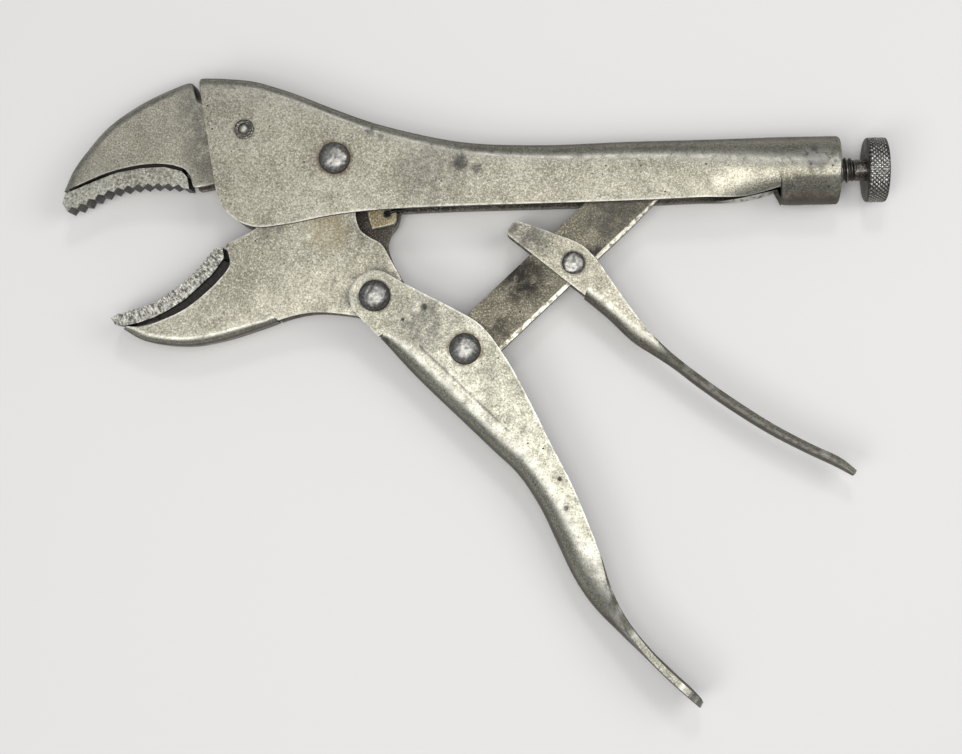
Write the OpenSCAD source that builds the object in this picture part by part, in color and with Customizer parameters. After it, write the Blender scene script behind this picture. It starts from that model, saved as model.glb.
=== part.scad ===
// Locking pliers with curved jaws, as an assembly of folded-sheet and solid pieces.
// Millimetres. The tool lies on its side: +X runs from the jaw pivot to the knob,
// +Y to the back of the fixed handle, +Z up. The jaw pivot axis is X = Y = 0 and the
// tool rests on Z = 0. Pose: jaws open, handles spread.

/* [Node] */
// Piece to build

/* [Widths] */
// Height of the mid-plane over the rest plane
mid_z = 10.5; // [10:0.1:12]
// Half of the inner width between the fixed handle's walls
shell_inner = 5.7; // [5.4:0.05:6.2]
// Sheet thickness of the fixed handle and the moving handle
handle_sheet = 2; // [1.5:0.1:2.5]
// Half width of the upper jaw's folded cover
upper_jaw_half = 5.6; // [5:0.05:5.65]
// Half width of the lower jaw's folded cover
lower_jaw_half = 5.3; // [5:0.05:5.35]
// Sheet thickness of both jaw covers
jaw_sheet = 1.8; // [1.4:0.1:2]
// Half width of the toothed bars
insert_half = 5.3; // [4.5:0.1:5.5]
// Half thickness of the toggle link
link_half = 2.6; // [2:0.1:2.6]
// Half width of the release lever over its walls
lever_half = 4.3; // [4:0.1:4.4]
// Sheet thickness of the release lever
lever_sheet = 1.4; // [1:0.1:1.5]

/* [Collar and screw] */
// Outer radius of the closed collar
collar_r = 10.5; // [10:0.1:11]
// Tilt of the screw axis over the X axis, degrees
screw_tilt = 1; // [0:0.1:2]
// Radius over the screw's thread
thread_r = 3.97; // [3.5:0.01:4.2]
// Depth of the thread
thread_depth = 0.9; // [0.6:0.05:1.1]
// Pitch of the thread
thread_pitch = 1.5875; // [1.25:0.0125:2]
// Radius of the screw's plain neck
neck_r = 3.3; // [2.8:0.1:3.4]
// Outer radius of the knob
knob_r = 10; // [9:0.1:10.4]
// Length of the knob
knob_length = 6.6; // [6:0.1:9]

/* [Rivets and sleeves] */
// Radius of the three large rivet heads
head_r = 4.85; // [4:0.05:5]
// Radius of the large rivets' shanks
shank_r = 3; // [2.5:0.1:3.2]
// Outer radius of the pivot sleeves
sleeve_r = 4.2; // [3.8:0.1:4.5]
// Radial play of each running fit
running_play = 0.05; // [0.02:0.01:0.1]
// Radius of the fixed jaw's small rivet head
small_head_r = 3.05; // [2.5:0.05:3.5]
// Radius of the fixed jaw's small rivet shank
small_shank_r = 1.9; // [1.5:0.1:2.2]
// Radius of the release lever's rivet head
lever_head_r = 3.4; // [3:0.1:3.8]
// Radius of the release lever's rivet shank
lever_shank_r = 2.2; // [1.8:0.1:2.6]

/* [Teeth and spring] */
// Pitch of the upper teeth along the jaw
upper_tooth_pitch = 3.06; // [2:0.02:4]
// Depth of the upper teeth
upper_tooth_depth = 1.1; // [0.5:0.1:1.6]
// Pitch of the lower teeth along the jaw
lower_tooth_pitch = 1.6; // [1:0.1:3]
// Depth of the lower teeth
lower_tooth_depth = 0.55; // [0.3:0.05:1]
// Radius of the spring wire
wire_r = 0.5; // [0.3:0.05:0.6]
// Radius of the spring's coils to the wire's middle
coil_r = 2; // [1.5:0.1:2.1]
// Pitch of the spring's coils
coil_pitch = 1.5; // [1.1:0.05:2]
// Number of coils in the spring
coils = 18; // [10:1:20]

/* [Hidden] */
$fn = 48;

SHEET_STEEL = [0.66, 0.65, 0.62];
BARE_STEEL = [0.76, 0.75, 0.73];
DARK_STEEL = [0.42, 0.41, 0.40];
BLACKED_STEEL = [0.20, 0.20, 0.21];

// Pivot axes
jaw_pivot = [0, 0];
handle_pivot = [12.2, -42];
link_pivot = [39.8, -58.2];
lever_pivot = [72.8, -31.6];
link_end = [96.4, -4.6];
upper_rivet = [-27.6, 8.8];
shell_half = shell_inner + handle_sheet;
handle_half = shell_half;
least_wall = 0.1;       // shortest wall past a bend
slip = 0.02;            // keeps flat walls and lofted walls from lying in one plane
bend_steps = 6;         // facets round each bend of a folded sheet
loft_steps = 2;         // stations between two given sections
lap = 0.5;              // overlap of solids that are joined
tongue_gap = 0.05;      // between a toothed bar's tongue and its cover

// Outer bend radii of the jaw covers, the moving handle and the release lever
jaw_bend = 2.8;
handle_bend = 6.5;
lever_bend = 4;

// Stations of the folded sheets: fold point [x, y, half width, bend radius, curl] and
// open edge [x, y].
shell_folds = concat(
    [for (p = [[-41.4, 24.8, 3.3], [-38, 24.9, 3.3], [-33, 24.9, 3.3], [-26, 24.2, 3.3],
        [-16, 21.4, 3.3], [-0.6, 15.6, 3.4], [9.4, 12, 3.5], [19.6, 9.2, 3.6],
        [38.2, 5.6, 4.2], [62.2, 4.8, 5.4], [90, 6, 6.4]])
        [p[0], p[1], shell_half, p[2], 0]],
    [[112, 6.7, 8.1, 7.2, 0.2], [126, 7.1, 9.4, 8.8, 0.7], [136.4, 7.4, 10.4, 10.2, 1],
    [139.4, 7.5, 10.4, 10.2, 1]]);
shell_edges = [[-36.2, -9.6], [-34.6, -14], [-30.6, -18.4], [-25, -20.8], [-16, -20.2],
    [-1.6, -17.4], [8, -16.1], [19.8, -15.2], [38, -14.4], [62.2, -13.7], [90, -12.8],
    [112, -11.8], [126, -11.3], [136.4, -11.2], [139.4, -11.2]];
upper_jaw_folds = [for (p = [[-82.8, -9.2], [-80.2, -4], [-75, 3], [-70, 8.8],
    [-62.4, 14.4], [-54.8, 18.6], [-49.6, 20.8], [-45.6, 21.9], [-41.4, 22],
    [-33.6, 21.5], [-26, 20.6], [-19.4, 18.8]])
    [p[0], p[1], upper_jaw_half, jaw_bend, 0]];
upper_jaw_edges = [[-80.8, -9.2], [-76.8, -7.1], [-70.6, -4.4], [-65.8, -2.8],
    [-59, -1.8], [-52.6, -1.5], [-46.4, -2.8], [-43.3, -8.3], [-41.4, -8.3],
    [-36.4, -7.4], [-28, -4.4], [-20.6, 0.6]];
lower_half = lower_jaw_half - slip;
lower_jaw_folds = [for (p = [[-65, -52.1], [-60, -55.1], [-50.8, -57.3],
    [-43.4, -57.3], [-32.8, -55.4], [-25.8, -53.4], [-18, -50]])
    [p[0], p[1], lower_half, jaw_bend, 0]];
lower_jaw_edges = [[-63.4, -51.6], [-58.6, -51.9], [-51.4, -49.4], [-43.5, -44.9],
    [-36.4, -38.9], [-31.4, -33], [-27, -26]];
handle_folds = [for (p = [[15.6, -57, 0], [23.2, -65.2, 0], [31.6, -73.4, 0],
    [39.4, -80.8, 0], [48.4, -89.4, 0], [56.6, -97.4, 0], [61.8, -105.8, 0],
    [66, -116.2, 0], [70.6, -127.6, 0], [77.6, -137.4, 0], [86.2, -144.8, 0.1],
    [94.2, -152, 0.3], [103.8, -161.4, 0.5], [111.6, -168.6, 0.6]])
    [p[0], p[1], handle_half - slip + p[2], handle_bend, 0]];
handle_edges = [[26, -40], [34.6, -45], [44.4, -50.8], [52, -60.6], [59.6, -74.4],
    [66.8, -88.8], [72.2, -99.2], [77.4, -111], [81.8, -121.2], [85.8, -131.4],
    [91, -140.8], [97, -149.4], [106.2, -159], [113.2, -166.4]];
lever_folds = [for (p = [[76.8, -42.8, 0], [84.2, -49, 0], [91.4, -55.4, 0],
    [98.6, -59.8, 0.1], [103.6, -63, 0.3], [112.6, -69.8, 0.5], [123.4, -77.2, 0.6],
    [133.8, -83.6, 0.6], [145.4, -89.6, 0.6], [155.2, -94.2, 0.5],
    [159.6, -96.8, 0.3]]) [p[0], p[1], lever_half - slip + p[2], lever_bend, 0]];
lever_edges = [[84.8, -37], [90.2, -45], [95.2, -51.2], [101, -57], [105.2, -60.6],
    [114.2, -67.4], [124.9, -74.8], [135.1, -81.2], [146.5, -87.2], [156.2, -91.8],
    [160.8, -94.8]];

// Side outlines of the flat plates and bars
lower_wall_near = [[-31.4, -29.6], [-32.6, -25.6], [-28.4, -23.8], [-24.8, -21.4],
    [-15.6, -10.4], [-8.6, -1.4], [8.2, -0.6], [6.8, -10], [6.2, -17.2], [7.6, -21.6],
    [10.4, -23.8], [14, -25.8], [17.2, -29.6], [19.8, -35.2], [19.4, -42.2],
    [12.2, -49.4], [5.6, -47.8], [0, -47.2], [-5.4, -46.9], [-11.4, -48], [-17.9, -49.9],
    [-20.2, -44.4], [-22.4, -44.4]];
lower_wall_far = [[-31.4, -29.6], [-32.6, -25.6], [-28.4, -23.8], [-24.8, -21.4],
    [-15.6, -10.4], [-8.6, -1.4], [8.2, -0.6], [16.4, -9.6], [19.2, -13.4], [19.2, -16.4],
    [18.2, -19.8], [16.2, -22.6], [15.4, -25.6], [17.2, -29.6], [19.8, -35.2],
    [19.4, -42.2], [12.2, -49.4], [5.6, -47.8], [0, -47.2], [-5.4, -46.9], [-11.4, -48],
    [-17.9, -49.9], [-20.2, -44.4], [-22.4, -44.4]];
spring_tab = [[8.6, -11.4], [9.4, -17], [10.6, -21], [17.6, -19.4], [18.4, -16.2],
    [17.6, -14], [15.8, -13], [10.4, -11.6]];
handle_wall = [[17.6, -36.1], [30, -42.9], [25, -48.6], [20.6, -49.6], [15.2, -56.2],
    [14.2, -55], [6.8, -47.6]];
lever_wall = [[52.4, -21.8], [53.2, -20], [55, -19], [66.8, -22.4], [76.2, -26.4],
    [78.6, -28.2], [81, -31.4], [84.6, -36.9], [86, -39.6], [81.6, -40.2],
    [76.6, -42.4], [76, -40.6], [72.8, -38.2]];
upper_bite = [[-82.2, -16], [-78, -14.6], [-74.6, -12.7], [-70, -10.5], [-64, -9],
    [-57.8, -8.4], [-52.6, -8.3], [-46.8, -8.8]];
upper_bar_back = [[-44.9, -8.9], [-45.5, -5.4], [-47.2, -3.6], [-52.5, -2.3],
    [-59.6, -2.7], [-67.2, -4.1], [-74.8, -7.1], [-82.9, -10.5], [-83.7, -13.4]];
upper_tongue = [[-71, -5.2], [-67.6, 0.4], [-61, 6.6], [-54, 11.6], [-46, 14.4],
    [-34, 14], [-24, 12.4], [-24, 4], [-36, -2.6], [-47, -2.4], [-47.4, -4.4],
    [-60, -4]];
lower_bite = [[-66.4, -47.2], [-61.4, -45.6], [-57, -44.2], [-50.8, -40.6],
    [-44.6, -35.6], [-40.6, -31.4], [-37.4, -27.4]];
lower_bar_back = [[-34.6, -27], [-34.2, -30.2], [-37.7, -35.1], [-45.8, -42.6],
    [-51.2, -46.2], [-55.7, -48.4], [-60.2, -50], [-64.2, -50.9], [-67.6, -50.6],
    [-68.8, -48.6]];
lower_tongue = [[-57.6, -45.8], [-53.8, -48.6], [-50, -50.6], [-43, -50.6],
    [-34.6, -48.8], [-29.6, -44], [-33, -31.4], [-37.2, -29.6], [-46, -38.4]];

// Screw axis: a point on it, and distances along it from there
screw_origin = [146, -2.75];
collar_start = -8.9;
collar_end = 8.6;
bush_r = collar_r - handle_sheet;
bush_start = -7.5;
bush_end = 7.8;
tip_start = -37.5;
thread_start = -35.8;
thread_end = 13.7;
knob_start = 16.9;
knob_end = knob_start + knob_length;
screw_end = knob_end + 0.4;
screw_chamfer = 0.5;
thread_lead_in = 0.4;   // how much thinner the tip is than the thread's root
knob_rim = 0.7;
notch_x = 135.6;
notch_back = -8.3;
notch_low = -14;

// Rivet heads
head_height = mid_z - shell_half;
head_flat_r = 2.6;
small_head_height = 1.3;
small_flat_r = 2.3;
small_dish_r = 1.9;
small_dish_depth = 0.5;
lever_head_height = 0.9;
lever_flat_r = 2.2;

// Link
link_width = 7.7;
link_end_r = 6.9;
link_taper = 14;
hub_r = 6.6;
hub_half = shell_inner - 0.35;
eye_r = 7.8;
jaw_eye_r = 7.3;
jaw_lobe_r = 8.2;

// Spring: hole in the lower jaw's tab, and the slotted tab in the fixed handle
tab_half = 0.9;
tab_hole = [15.4, -16];
tab_hole_r = 1.1;
anchor = [72.4, -0.9];
slot_length = 9.2;
slot_drop = 0.2;
slot_r = 0.95;
anchor_lip = 1.6;
anchor_under = 1;       // sheet left under the slot
anchor_chamfer = 1;
anchor_root = [3.6, 3.9];   // where the tab meets the handle's back, front and rear
neck_x = 8.6;           // where the spring tab leaves the jaw's far wall
neck_y = -16.6;
neck_width = 5.2;
loop_r = 2.1;
leg_half = 1.75;
lead = 9.8;             // straight wire between the short hook and the first coil
leg_start = 1.6;        // from the last coil to the straight legs
coil_facets = 10;
wire_facets = 6;
spring_span = norm(anchor - tab_hole);
spring_angle = atan2(anchor[1] - tab_hole[1], anchor[0] - tab_hole[0]);
coil_start = 2 * loop_r + lead;
coil_end = coil_start + coils * coil_pitch;

// A smooth curve through points, with steps pieces between two points
function spline_at(p, i, t) =
    let (n = len(p) - 1,
        a = p[max(i - 1, 0)], b = p[i], c = p[i + 1], d = p[min(i + 2, n)])
    0.5 * (2 * b + (c - a) * t + (2 * a - 5 * b + 4 * c - d) * t * t
        + (3 * b - a - 3 * c + d) * t * t * t);
function smooth(p, steps) =
    [for (i = [0 : len(p) - 2]) for (k = [0 : steps - 1]) spline_at(p, i, k / steps),
        p[len(p) - 1]];
function reversed(p) = [for (i = [len(p) - 1 : -1 : 0]) p[i]];
function flat(p) = [p[0], p[1]];
function mirrored(p) = [for (q = p) [q[0], -q[1]]];

// A folded section as [z, depth]: wall, bend, flat back, bend, wall. The wall curls in
// along a circle when curl is over 0.
function wall_z(half, full, curl, run) = half * sqrt(1 - pow(curl * run / full, 2));
function bend_side(side, flat_half, bend, back, skin, turns) =
    [for (a = turns) [side * (flat_half + bend * cos(a)), skin + (back - skin) * (1 - sin(a))]];
function wall_side(side, half, full, back, reach, curl, shares) =
    [for (share = shares)
        let (run = (reach - back) * share)
        [side * wall_z(half, full, curl, run), back + run]];
function fold_path(half, full, bend, back, skin, reach, curl, wall_steps) =
    let (down = [for (k = [wall_steps : -1 : 1]) k / wall_steps],
        turns = [for (k = [0 : bend_steps]) 90 * k / bend_steps])
    concat(
        wall_side(1, half, full, back, reach, curl, down),
        bend_side(1, half - bend, bend, back, skin, turns),
        bend_side(-1, half - bend, bend, back, skin, reversed(turns)),
        wall_side(-1, half, full, back, reach, curl, reversed(down)));
function section(fold, edge, sheet, wall_steps) =
    let (reach = norm(edge - flat(fold)),
        way = (edge - flat(fold)) / reach,
        full = fold[2],
        bend = fold[3],
        back = min(bend, reach - least_wall),
        path = concat(
            fold_path(full, full, bend, back, 0, reach, fold[4], wall_steps),
            reversed(fold_path(full - sheet, full, bend - sheet, back,
                min(sheet, back - least_wall), reach, fold[4], wall_steps))))
    [for (q = path) [fold[0] + way[0] * q[1], fold[1] + way[1] * q[1], mid_z + q[0]]];

// Triangles between the rings of a tube, n points to a ring
function tube_sides(rings, n) =
    [for (i = [0 : rings - 2]) for (j = [0 : n - 1])
        let (a = i * n + j, b = i * n + (j + 1) % n)
        each [[a, b, b + n], [a, b + n, a + n]]];

// A folded sheet lofted over its sections
module folded_sheet(folds, edges, sheet, wall_steps = 1) {
    left = cross(flat(folds[1]) - flat(folds[0]), edges[0] - flat(folds[0])) > 0;
    f = smooth(left ? reversed(folds) : folds, loft_steps);
    e = smooth(left ? reversed(edges) : edges, loft_steps);
    rings = [for (i = [0 : len(f) - 1]) section(f[i], e[i], sheet, wall_steps)];
    n = len(rings[0]);
    last = (len(rings) - 1) * n;
    caps = [for (j = [0 : n / 2 - 2])
        let (a = j, b = j + 1, c = n - 2 - j, d = n - 1 - j)
        each [[b, a, c], [a, d, c], [last + a, last + b, last + c],
            [last + a, last + c, last + d]]];
    polyhedron([for (r = rings) each r], concat(tube_sides(len(rings), n), caps),
        convexity = 8);
}

// Both flat walls of a piece, between two half widths
module wall_pair(outer, sheet) {
    for (side = [-1, 1])
        translate([0, 0, mid_z + side * (outer - sheet / 2) - sheet / 2])
            linear_extrude(sheet) children();
}

module bar(half) {
    translate([0, 0, mid_z - half])
        linear_extrude(2 * half) children();
}

module pin_hole(at, r) {
    translate([at[0], at[1], -mid_z])
        cylinder(r = r, h = 4 * mid_z);
}

// A domed head, base down, with a flat on top
module dome(r, height, flat_r) {
    drop = (r * r - flat_r * flat_r - height * height) / (2 * height);
    intersection() {
        translate([0, 0, -drop])
            sphere(sqrt(r * r + drop * drop));
        cylinder(r = r, h = height);
    }
}

// A through rivet with a domed head on both sides
module rivet(at, shank, seat, r, height, flat_r) {
    translate([at[0], at[1], mid_z]) {
        cylinder(r = shank, h = 2 * seat + slip, center = true);
        for (side = [0, 180])
            rotate([side, 0, 0])
                translate([0, 0, seat])
                    dome(r, height, flat_r);
    }
}

module sleeve(at, half) {
    translate([at[0], at[1], mid_z])
        difference() {
            cylinder(r = sleeve_r, h = 2 * half, center = true);
            cylinder(r = shank_r + slip, h = 3 * half, center = true);
        }
}

// Teeth along a curve: crests on the curve, roots below it
function run_to(p, i) = i == 0 ? 0 : run_to(p, i - 1) + norm(p[i] - p[i - 1]);
function along(p, s, i = 0) =
    let (step = norm(p[i + 1] - p[i]))
    s <= step || i == len(p) - 2 ? [p[i] + (p[i + 1] - p[i]) * s / step, (p[i + 1] - p[i]) / step]
        : along(p, s - step, i + 1);
function toothed(p, pitch, depth) =
    let (total = run_to(p, len(p) - 1), n = floor(total / pitch), gap = total / n)
    concat([for (i = [0 : n - 1]) for (half = [0, 1])
            let (q = along(p, (i + half / 2) * gap),
                normal = [-q[1][1], q[1][0]])
            q[0] + normal * depth * half],
        [p[len(p) - 1]]);

// Placement along the screw's axis
module on_screw_axis(at) {
    translate([screw_origin[0], screw_origin[1], mid_z])
        rotate([0, 0, screw_tilt])
            translate([at, 0, 0])
                rotate([0, 90, 0])
                    children();
}

module spring_frame() {
    translate([tab_hole[0], tab_hole[1], mid_z])
        rotate([0, 0, spring_angle])
            children();
}

module upper_handle_shell() {
    color(SHEET_STEEL)
        difference() {
            union() {
                difference() {
                    folded_sheet(shell_folds, shell_edges, handle_sheet, 3);
                    on_screw_axis(collar_start)
                        cylinder(r = bush_r, h = collar_end);
                    collar_notch();
                }
                difference() {
                    on_screw_axis(collar_start)
                        cylinder(r = collar_r, h = collar_end - collar_start);
                    on_screw_axis(collar_start - 1)
                        cylinder(r = bush_r, h = collar_end - collar_start + 2);
                }
                anchor_tab();
            }
            pin_hole(jaw_pivot, shank_r);
            pin_hole(upper_rivet, small_shank_r);
        }
}

// The relief between the channel's lower edges and the collar
module collar_notch() {
    translate([notch_x, notch_low, mid_z - collar_r])
        cube([collar_r, notch_back - notch_low, 2 * collar_r]);
}

// A tab lanced from the handle's back, slotted for the spring's long hook
module anchor_tab() {
    rear = anchor[0] + slot_r + anchor_lip;
    front = anchor[0] - slot_length - slot_r - anchor_lip;
    foot = anchor[1] - slot_drop - slot_r - anchor_under;
    bar(tab_half)
        difference() {
            polygon([[front, anchor_root[0]], [front, foot + anchor_chamfer],
                [front + anchor_chamfer, foot], [rear - anchor_chamfer, foot],
                [rear, foot + anchor_chamfer], [rear, anchor_root[1]]]);
            translate(anchor - [0, slot_drop]) {
                for (x = [0, -slot_length])
                    translate([x, 0])
                        circle(slot_r);
                translate([-slot_length, -slot_r])
                    square([slot_length, 2 * slot_r]);
            }
        }
}

module threaded_bush() {
    color(DARK_STEEL)
        difference() {
            on_screw_axis(bush_start)
                cylinder(r = bush_r - slip, h = bush_end - bush_start);
            on_screw_axis(bush_start - 1)
                cylinder(r = thread_r + running_play, h = bush_end - bush_start + 2);
        }
}

module upper_jaw_cover() {
    color(SHEET_STEEL)
        difference() {
            folded_sheet(upper_jaw_folds, upper_jaw_edges, jaw_sheet);
            pin_hole(upper_rivet, small_shank_r);
        }
}

module upper_jaw_insert() {
    color(BARE_STEEL)
        difference() {
            union() {
                bar(insert_half)
                    polygon(concat(
                        toothed(smooth(upper_bite, loft_steps), upper_tooth_pitch,
                            upper_tooth_depth),
                        upper_bar_back));
                bar(upper_jaw_half - jaw_sheet - tongue_gap)
                    polygon(upper_tongue);
            }
            pin_hole(upper_rivet, small_shank_r);
        }
}

module upper_jaw_rivet() {
    color(DARK_STEEL)
        difference() {
            rivet(upper_rivet, small_shank_r - slip, shell_half, small_head_r,
                small_head_height, small_flat_r);
            for (side = [-1, 1])
                translate([upper_rivet[0], upper_rivet[1],
                        mid_z + side * (shell_half + small_head_height)])
                    cylinder(r = small_dish_r, h = 2 * small_dish_depth, center = true);
        }
}

module jaw_pivot_rivet() {
    color(DARK_STEEL)
        rivet(jaw_pivot, shank_r - slip, shell_half, head_r, head_height, head_flat_r);
}

module jaw_pivot_sleeve() {
    color(BARE_STEEL)
        sleeve(jaw_pivot, shell_inner - slip);
}

module lower_jaw_cover() {
    color(SHEET_STEEL)
        difference() {
            union() {
                folded_sheet(lower_jaw_folds, lower_jaw_edges, jaw_sheet);
                translate([0, 0, mid_z + lower_jaw_half - jaw_sheet])
                    linear_extrude(jaw_sheet)
                        lower_wall(lower_wall_near);
                translate([0, 0, mid_z - lower_jaw_half])
                    linear_extrude(jaw_sheet)
                        lower_wall(lower_wall_far);
                bar(tab_half)
                    polygon(spring_tab);
                tab_neck();
            }
            pin_hole(jaw_pivot, sleeve_r + running_play);
            pin_hole(handle_pivot, sleeve_r + running_play);
            translate([tab_hole[0], tab_hole[1], mid_z])
                cylinder(r = tab_hole_r, h = 4 * tab_half, center = true);
        }
}

module lower_wall(outline) {
    polygon(outline);
    translate(jaw_pivot)
        circle(jaw_lobe_r);
    translate(handle_pivot)
        circle(jaw_eye_r);
}

// The bend that carries the spring tab from the far wall to the middle
module tab_neck() {
    drop = lower_jaw_half - jaw_sheet + lap;
    translate([neck_x, neck_y, mid_z - drop])
        cube([jaw_sheet, neck_width, drop]);
}

module lower_jaw_insert() {
    color(BARE_STEEL)
        union() {
            bar(insert_half)
                polygon(concat(
                    toothed(smooth(lower_bite, loft_steps), lower_tooth_pitch,
                        -lower_tooth_depth),
                    lower_bar_back));
            bar(lower_half - jaw_sheet - tongue_gap)
                polygon(lower_tongue);
        }
}

module lower_handle() {
    color(SHEET_STEEL)
        difference() {
            union() {
                folded_sheet(handle_folds, handle_edges, handle_sheet);
                wall_pair(handle_half, handle_sheet) {
                    union() {
                        polygon(handle_wall);
                        translate(handle_pivot)
                            circle(eye_r);
                    }
                }
            }
            pin_hole(handle_pivot, shank_r);
            pin_hole(link_pivot, shank_r);
        }
}

module handle_pivot_rivet() {
    color(DARK_STEEL)
        rivet(handle_pivot, shank_r - slip, handle_half, head_r, head_height, head_flat_r);
}

module handle_pivot_sleeve() {
    color(BARE_STEEL)
        sleeve(handle_pivot, handle_half - handle_sheet - slip);
}

module link_rivet() {
    color(DARK_STEEL)
        rivet(link_pivot, shank_r - slip, handle_half, head_r, head_height, head_flat_r);
}

module toggle_link() {
    way = link_end - link_pivot;
    wide = link_width - 3 * slip;
    narrow = link_end_r - 3 * slip;
    bar_side = [[0, wide], [norm(way) - link_taper, wide], [norm(way), narrow]];
    color(BARE_STEEL)
        difference() {
            union() {
                bar(link_half) {
                    translate(link_pivot)
                        circle(link_width);
                    translate(link_end)
                        circle(link_end_r);
                    translate(link_pivot)
                        rotate(atan2(way[1], way[0]))
                            polygon(concat(bar_side, reversed(mirrored(bar_side))));
                }
                translate([link_pivot[0], link_pivot[1], mid_z])
                    cylinder(r = hub_r, h = 2 * hub_half, center = true);
            }
            pin_hole(link_pivot, shank_r - slip + running_play);
            pin_hole(lever_pivot, lever_shank_r - slip + running_play);
        }
}

module release_lever() {
    color(SHEET_STEEL)
        difference() {
            union() {
                folded_sheet(lever_folds, lever_edges, lever_sheet);
                wall_pair(lever_half, lever_sheet)
                    polygon(lever_wall);
            }
            pin_hole(lever_pivot, lever_shank_r);
        }
}

module release_lever_rivet() {
    color(DARK_STEEL)
        rivet(lever_pivot, lever_shank_r - slip, lever_half, lever_head_r,
            lever_head_height, lever_flat_r);
}

// Thread as a stack of V grooves round the axis
module adjusting_screw() {
    threads = floor((thread_end - thread_start) / thread_pitch);
    root = thread_r - thread_depth;
    ridge = [[root, 0.1], [thread_r, 0.45], [thread_r, 0.55], [root, 0.9]];
    neck_start = thread_start + (threads + 0.2) * thread_pitch;
    profile = concat(
        [[0, tip_start], [root - thread_lead_in, tip_start]],
        [for (i = [0 : threads - 1]) for (q = ridge)
            [q[0], thread_start + (i + q[1]) * thread_pitch]],
        [[neck_r, neck_start], [neck_r, screw_end - screw_chamfer],
            [neck_r - screw_chamfer, screw_end], [0, screw_end]]);
    color(DARK_STEEL)
        on_screw_axis(0)
            rotate_extrude()
                polygon(profile);
}

module knurled_knob() {
    profile = [[neck_r + running_play, knob_start], [knob_r - knob_rim, knob_start],
        [knob_r, knob_start + knob_rim], [knob_r, knob_end - knob_rim],
        [knob_r - knob_rim, knob_end], [neck_r + running_play, knob_end]];
    color(BLACKED_STEEL)
        on_screw_axis(0)
            rotate_extrude()
                polygon(profile);
}

// The wire's path in the spring's frame: hook, coils, long hook
function hook_path() =
    [for (a = [310 : -20 : 30]) [loop_r * (1 + cos(a)), 0, loop_r * sin(a)]];
function coil_path() =
    [for (i = [0 : coils * coil_facets])
        let (a = 360 * i / coil_facets)
        [coil_start + coil_pitch * i / coil_facets, coil_r * sin(a), coil_r * cos(a)]];
function long_hook_path() =
    let (bend = spring_span - leg_half)
    concat(
        [[coil_end + leg_start, 0, leg_half], [(coil_end + bend) / 2, 0, leg_half]],
        [for (a = [90 : -22.5 : -90]) [bend + leg_half * cos(a), 0, leg_half * sin(a)]],
        [[coil_end + leg_start, 0, -leg_half]]);

function unit(v) = v / norm(v);
function square_to(v, t) = unit(v - (v * t) * t);
function tangents(p) =
    [for (i = [0 : len(p) - 1]) unit(p[min(i + 1, len(p) - 1)] - p[max(i - 1, 0)])];
// Normals carried along the path without twist
function normals(t) =
    [for (i = 0, n = square_to([0, 1, 0], t[0]); i < len(t);
        i = i + 1, n = i < len(t) ? square_to(n, t[i]) : n) n];

// Round wire along a path
module wire(path) {
    t = tangents(path);
    n = normals(t);
    rings = [for (i = [0 : len(path) - 1]) for (j = [0 : wire_facets - 1])
        let (a = 360 * j / wire_facets)
        path[i] + wire_r * (cos(a) * n[i] + sin(a) * cross(t[i], n[i]))];
    last = (len(path) - 1) * wire_facets;
    caps = [for (j = [1 : wire_facets - 2])
        each [[0, j + 1, j], [last, last + j, last + j + 1]]];
    polyhedron(rings, concat(tube_sides(len(path), wire_facets), caps), convexity = 10);
}

module return_spring() {
    color(DARK_STEEL)
        spring_frame()
            wire(concat(hook_path(), coil_path(), long_hook_path()));
}

upper_handle_shell();
threaded_bush();
upper_jaw_cover();
upper_jaw_insert();
upper_jaw_rivet();
jaw_pivot_rivet();
jaw_pivot_sleeve();
lower_jaw_cover();
lower_jaw_insert();
lower_handle();
handle_pivot_rivet();
handle_pivot_sleeve();
link_rivet();
toggle_link();
release_lever();
release_lever_rivet();
adjusting_screw();
knurled_knob();
return_spring();
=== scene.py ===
import math

import bmesh
import bpy
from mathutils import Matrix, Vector


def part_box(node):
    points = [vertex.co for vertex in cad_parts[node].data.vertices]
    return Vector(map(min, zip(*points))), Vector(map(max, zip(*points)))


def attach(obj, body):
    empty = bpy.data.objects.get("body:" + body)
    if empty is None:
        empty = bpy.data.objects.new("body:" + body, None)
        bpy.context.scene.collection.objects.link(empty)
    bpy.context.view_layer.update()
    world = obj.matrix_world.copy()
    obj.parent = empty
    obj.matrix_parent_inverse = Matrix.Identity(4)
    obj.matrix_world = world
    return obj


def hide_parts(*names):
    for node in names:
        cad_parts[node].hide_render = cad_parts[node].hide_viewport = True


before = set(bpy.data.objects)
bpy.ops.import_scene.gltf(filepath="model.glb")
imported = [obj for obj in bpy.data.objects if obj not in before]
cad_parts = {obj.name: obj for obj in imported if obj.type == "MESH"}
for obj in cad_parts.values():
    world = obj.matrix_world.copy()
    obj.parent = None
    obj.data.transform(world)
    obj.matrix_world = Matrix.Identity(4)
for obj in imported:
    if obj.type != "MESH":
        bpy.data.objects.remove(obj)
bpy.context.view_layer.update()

MM = 0.001


def centre(node):
    """Middle of a CAD node's box, in millimetres."""
    low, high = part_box(node)
    return (low + high) / 2 / MM


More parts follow.
